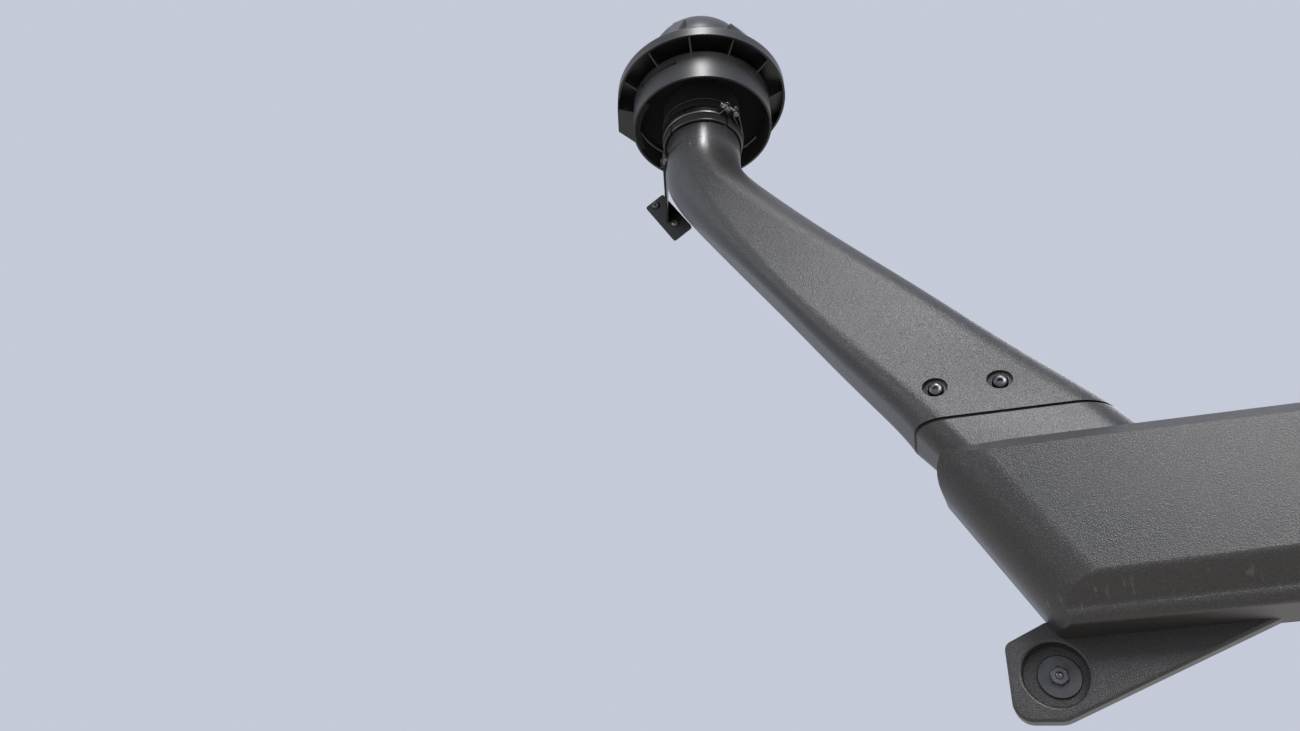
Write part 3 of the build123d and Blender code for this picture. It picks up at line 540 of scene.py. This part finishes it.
# Button-head screws of the seam, on the floors of the riser's cups
SEAM_HEAD = 4.2
seam_rows = socket_head(head_radius=7.0, head_height=SEAM_HEAD, socket_radius=2.1, shank_radius=2.9,
                        shank_length=15.0)
screws = [turned((x, end_y + SEAM_HEAD * MM, z), OUTBOARD, seam_rows)
          for x, end_y, z in side_by_side("seam_screws")]
new_piece("seam_button_screws", screws, dark_steel, "intake", ["seam_screws"])

# Bolt of the lug: hexagon head with a turned boss, sleeve through the lug and thread behind the wing.
# Rows of radius, height above the washer and share of a hexagon
WASHER_FACE = 16.5
SLEEVE_RADIUS = 5.4
bolt_boss = [(TIP, 5.9, 0.0), (1.3, 5.8, 0.0), (2.3, 5.4, 0.0), (2.8, 4.9, 0.0), (3.1, 4.5, 0.0)]
bolt_head = [(4.4, 4.6, 0.0), (5.9, 4.7, 0.0), (6.35, 4.35, 0.35), (6.5, 3.7, 1.0), (6.5, 0.5, 1.0),
             (6.4, 0.2, 1.0), (6.3, 0.0, 1.0)]
bolt_sleeve = [(SLEEVE_RADIUS, 0.0, 0.0), (SLEEVE_RADIUS, 0.1 - WASHER_FACE, 0.0), (3.9, -WASHER_FACE, 0.0)]
bolt = [
    turned((0.0, -WASHER_FACE * MM, 0.0), OUTBOARD, bolt_boss + bolt_head + bolt_sleeve),
    threaded(WING_BOLT, INBOARD, radius=4.0, start=-0.5, stop=25.0, pitch=1.25),
]
new_piece("wing_hex_bolt", bolt, dark_steel, "intake", ["wing_bolt"])

# Studs behind the wing duct: plain roots in their bosses, and threads
ROOT_RADIUS = 3.5
STUD_LENGTH = 20.0
root_rows = [(TIP, -STUD_LENGTH, 0.0), (3.2, -STUD_LENGTH, 0.0), (ROOT_RADIUS, 0.3 - STUD_LENGTH, 0.0),
             (ROOT_RADIUS, 0.0, 0.0), (2.2, 0.2, 0.0)]
all_points = node_points("wing_studs")
first_stud = all_points.min(axis=0) + ROOT_RADIUS * MM
last_stud = all_points.max(axis=0) - ROOT_RADIUS * MM
studs = []
for x in (first_stud[0], last_stud[0]):
    for z in (first_stud[2], last_stud[2]):
        studs.append(turned((x, 0.0, z), INBOARD, root_rows, steps=THREAD_STEPS))
        studs.append(threaded((x, 0.0, z), INBOARD, radius=2.95, start=-0.5, stop=STUD_LENGTH, pitch=1.0))
new_piece("threaded_studs", studs, bright_steel, "intake", ["wing_studs"])

# Screws of the pillar plate
PILLAR_HEAD = 3.2
pillar_rows = socket_head(head_radius=6.0, head_height=PILLAR_HEAD, socket_radius=1.9, shank_radius=2.2,
                          shank_length=2.5)
screws = []
for x, end_y, z in side_by_side("pillar_screws"):
    plate = (x, end_y + PILLAR_HEAD * MM, z)
    screws.append(turned(plate, OUTBOARD, pillar_rows))
    screws.append(threaded(plate, INBOARD, radius=2.9, start=0.2, stop=17.0, pitch=1.0))
new_piece("pillar_button_screws", screws, dark_steel, "intake", ["pillar_screws"])

# Band clamp with a T bolt. In its own level plane, "out" runs from the neck's axis to the bolt and "across"
# runs at right angles to that. One end of the strap runs straight to its cross pin and back along the band,
# and the other is bent upright, close by the bolt.
CLAMP_ANGLE = np.radians(-32.0)
clamp_low, clamp_high = [np.array(corner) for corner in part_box("neck_clamp")]
CLAMP_Z = (clamp_low[2] + clamp_high[2]) / 2.0
STRAP_WIDTH = clamp_high[2] - clamp_low[2]
STRAP = 0.9 * MM
BAND_RADIUS = 55.75 * MM
TAIL_RADIUS = BAND_RADIUS + 1.15 * STRAP
PIN_OUT = 65.4 * MM
PIN_ACROSS = 7.2 * MM
LOOP_RADIUS = 3.4 * MM + STRAP / 2.0
LEG_FOOT = BAND_RADIUS + 1.3 * MM
LEG_BEND = 2.2 * MM
TAIL_SWEEP = 0.42

# Steps along the strap, and the steps between which a slot lets the bolt through each end
TAIL_STEPS = 14
LOOP_STEPS = 26
BAND_STEPS = 130
LEG_STEPS = 8
TURN_STEPS = 19
BEND_STEPS = 9
SLOT_HALF = 3.7 * MM
STRAIGHT_SLOT = slice(17, 36)
UPRIGHT_SLOT = slice(4, 29)


def on_circle(centre, radius, angles):
    """Points of a circle at given angles."""
    return centre + radius * np.stack([np.cos(angles), np.sin(angles)], axis=1)


def marked(line, stretch):
    """Mark for each point of a line, true in one stretch of it."""
    marks = np.zeros(len(line), bool)
    marks[stretch] = True
    return marks


def straight_half(side):
    """Middle line of the strap's straight end, from its tail round the pin to the band, the marks of its
    slot, and the angle at which it meets the band. The outer run is the straight line that touches the
    tail's circle and the pin on the same side, and the inner run crosses between them and touches the
    band's circle."""
    away = np.hypot(PIN_OUT, PIN_ACROSS)
    pin_angle = side * np.arctan2(PIN_ACROSS, PIN_OUT)
    pin = np.array((PIN_OUT, side * PIN_ACROSS))
    outer_angle = pin_angle + side * np.arccos((TAIL_RADIUS - LOOP_RADIUS) / away)
    inner_angle = pin_angle + side * np.arccos((BAND_RADIUS + LOOP_RADIUS) / away)
    tail = on_circle(0.0, TAIL_RADIUS, np.linspace(outer_angle + side * TAIL_SWEEP, outer_angle, TAIL_STEPS))
    wrap = on_circle(pin, LOOP_RADIUS, np.linspace(outer_angle, inner_angle - side * np.pi, LOOP_STEPS))
    foot = on_circle(0.0, BAND_RADIUS, np.array([inner_angle]))
    line = np.concatenate([tail, wrap, foot])
    return line, marked(line, STRAIGHT_SLOT), inner_angle


def upright_half(side):
    """Middle line of the strap's upright end, from its tail round the pin to the band, the marks of its
    slot, and the angle at which it meets the band. Two legs run straight outward beside the pin, and the
    far one bends into the band with a small arc that touches both."""
    near, far = PIN_ACROSS - LOOP_RADIUS, PIN_ACROSS + LOOP_RADIUS
    bend_across = far + LEG_BEND
    bend_out = np.sqrt((BAND_RADIUS + LEG_BEND) ** 2 - bend_across ** 2)
    foot_angle = np.arctan2(bend_across, bend_out)
    up_leg = np.linspace(LEG_FOOT, PIN_OUT, LEG_STEPS)[:-1]
    up_leg = np.stack([up_leg, np.full(len(up_leg), near)], axis=1)
    quarter = np.pi / 2.0
    wrap = on_circle(np.array((PIN_OUT, PIN_ACROSS)), LOOP_RADIUS, np.linspace(-quarter, quarter, TURN_STEPS))
    down_leg = np.linspace(PIN_OUT, bend_out, LEG_STEPS)[1:-1]
    down_leg = np.stack([down_leg, np.full(len(down_leg), far)], axis=1)
    bend = on_circle(np.array((bend_out, bend_across)), LEG_BEND,
                     np.linspace(-quarter, foot_angle - np.pi, BEND_STEPS))
    line = np.concatenate([up_leg, wrap, down_leg, bend]) * np.array((1.0, side))
    return line, marked(line, UPRIGHT_SLOT), side * foot_angle


near_line, near_slot, near_angle = straight_half(1.0)
far_line, far_slot, far_angle = upright_half(-1.0)
band_line = on_circle(0.0, BAND_RADIUS, np.linspace(near_angle, far_angle + 2.0 * np.pi, BAND_STEPS)[1:-1])
line = np.concatenate([near_line, band_line, far_line[::-1]])
in_slot = np.concatenate([near_slot, np.zeros(len(band_line), bool), far_slot[::-1]])
out_axis = np.array((np.cos(CLAMP_ANGLE), np.sin(CLAMP_ANGLE)))
across_axis = np.array((-np.sin(CLAMP_ANGLE), np.cos(CLAMP_ANGLE)))
flat = NECK_AXIS + line[:, :1] * out_axis + line[:, 1:] * across_axis
heights = CLAMP_Z + np.array((-STRAP_WIDTH / 2.0, -SLOT_HALF, SLOT_HALF, STRAP_WIDTH / 2.0))
levels = len(heights)
grid = np.concatenate([np.repeat(flat[:, None, :], levels, axis=1),
                       np.tile(heights, (len(flat), 1))[:, :, None]], axis=2)
corners = (levels * np.arange(len(flat) - 1)[:, None] + np.arange(levels - 1))[:, :, None]
strips = corners + np.array((0, 1, levels + 1, levels))
# The middle one of the three strips along the strap is open in the slots
closed = np.ones(strips.shape[:2], bool)
closed[:, 1] = ~(in_slot[:-1] & in_slot[1:])
strap = new_piece("clamp_strap", [(grid.reshape(-1, 3), strips[closed].tolist())], strap_steel, "head",
                  ["neck_clamp"])
thicken = strap.modifiers.new("thickness", "SOLIDIFY")
thicken.thickness = STRAP
thicken.offset = 0.0


def clamp_point(out, across):
    """Point of the clamp's plane, in the object's frame."""
    level = NECK_AXIS + out * out_axis + across * across_axis
    return (level[0], level[1], CLAMP_Z)


# Cross pins, nut and bolt of the clamp. Rows of radius, height and share of a hexagon
across_3d = (across_axis[0], across_axis[1], 0.0)
pin_rows = [(TIP, -7.4, 0.0), (2.7, -7.4, 0.0), (3.3, -6.9, 0.0), (3.3, 6.9, 0.0), (2.7, 7.4, 0.0),
            (TIP, 7.4, 0.0)]
nut_rows = [(TIP, -16.0, 0.0), (4.3, -16.0, 0.0), (4.8, -15.5, 1.0), (4.8, -12.7, 1.0), (4.3, -12.2, 0.0),
            (TIP, -12.2, 0.0)]
bolt_middle = clamp_point(PIN_OUT, 0.0)
bolt_shells = [
    turned(clamp_point(PIN_OUT, PIN_ACROSS), UP, pin_rows),
    turned(clamp_point(PIN_OUT, -PIN_ACROSS), UP, pin_rows),
    turned(bolt_middle, across_3d, nut_rows),
    threaded(bolt_middle, across_3d, radius=2.9, start=-19.0, stop=5.0, pitch=1.0),
]
new_piece("clamp_t_bolt", bolt_shells, bright_steel, "head", ["clamp_screw"])

# Rounded lower lip of the collar, in four parts between its slits, and the small rib higher up on it
LIP_RADIUS = 53.3 * MM
LIP_Z = 0.7566
LIP_STEPS = 30
SLITS = 4
SLIT_STEP = 2.0 * np.pi / SLITS
SLIT_TURN = 0.038
RIB_RADIUS = 55.1 * MM
RIB_Z = 0.7955
RIB_STEPS = 120


def ellipse(out, up, count):
    """Outline of an ellipse from its two half widths, with a number of points."""
    angles = np.linspace(0.0, 2.0 * np.pi, count + 1)[:-1]
    return np.stack([out * np.cos(angles), up * np.sin(angles)], axis=1)


def level_ring(radius, z, angles):
    """Path at one height round the neck's axis."""
    return np.concatenate([on_circle(NECK_AXIS, radius, angles), np.full((len(angles), 1), z)], axis=1)


lip_outline = ellipse(2.0 * MM, 1.9 * MM, 12)
lips = []
for number in range(SLITS):
    slit = CLAMP_ANGLE + number * SLIT_STEP
    sweep = np.linspace(slit + SLIT_TURN, slit + SLIT_STEP - SLIT_TURN, LIP_STEPS)
    lips.append(carried(level_ring(LIP_RADIUS, LIP_Z, sweep), lip_outline))
new_piece("collar_lip", lips, smooth_edge, "head")
whole_sweep = np.arange(RIB_STEPS) * 2.0 * np.pi / RIB_STEPS
rib = carried(level_ring(RIB_RADIUS, RIB_Z, whole_sweep), ellipse(0.9 * MM, 1.1 * MM, 10), whole_turn=True)
new_piece("collar_rib", [rib], smooth_edge, "head")


def flat_floor(name, half, z, material):
    """A level square of the stage."""
    mesh = bpy.data.meshes.new(name)
    mesh.from_pydata([(-half, -half, z), (half, -half, z), (half, half, z), (-half, half, z)], [],
                     [(0, 1, 2, 3)])
    mesh.materials.append(material)
    sheet = bpy.data.objects.new(name, mesh)
    bpy.context.scene.collection.objects.link(sheet)


def soft_lamp(name, place, target, width, height, power):
    """A large area lamp that faces its target, with its power in watts."""
    data = bpy.data.lights.new(name, "AREA")
    data.shape = "RECTANGLE"
    data.size = width
    data.size_y = height
    data.energy = power
    lamp = bpy.data.objects.new(name, data)
    lamp.location = place
    lamp.rotation_euler = (Vector(target) - Vector(place)).to_track_quat("-Z", "Y").to_euler()
    bpy.context.scene.collection.objects.link(lamp)


flat_floor("floor", FLOOR_HALF, FLOOR_Z, pale_floor("pale floor", FLOOR_PALE, FLOOR_GREY, FLOOR_DULL))
bpy.context.scene.world = lit_sky("pale sky", SKY_LIGHT, SKY_SEEN, SKY_STRENGTH)
soft_lamp("side lamp", (1.10, -2.00, 1.36), (0.15, 0.0, 0.15), width=0.85, height=1.10, power=37.0)
soft_lamp("neck lamp", (0.25, -1.28, 2.22), (-0.28, 0.0, 0.72), width=0.27, height=0.85, power=21.0)
soft_lamp("rear lamp", (-2.0, -1.7, 1.35), (-0.1, 0.0, 0.4), width=1.0, height=1.1, power=9.0)
soft_lamp("inboard lamp", (0.9, 2.2, 1.9), (-0.1, 0.0, 0.4), width=1.2, height=1.2, power=9.0)

camera_data = bpy.data.cameras.new("photo camera")
camera_data.sensor_width = SENSOR
camera_data.lens = FOCAL_PIXELS / PHOTO_WIDTH * SENSOR
camera = bpy.data.objects.new("photo camera", camera_data)
right = Vector(EYE_RIGHT).normalized()
down = Vector(EYE_DOWN).normalized()
back = right.cross(-down).normalized()
turn = Matrix((right, -down, back)).transposed()
camera.matrix_world = Matrix.Translation(EYE) @ turn.to_4x4()
bpy.context.scene.collection.objects.link(camera)
bpy.context.scene.camera = camera

bpy.context.scene.view_settings.view_transform = "Standard"
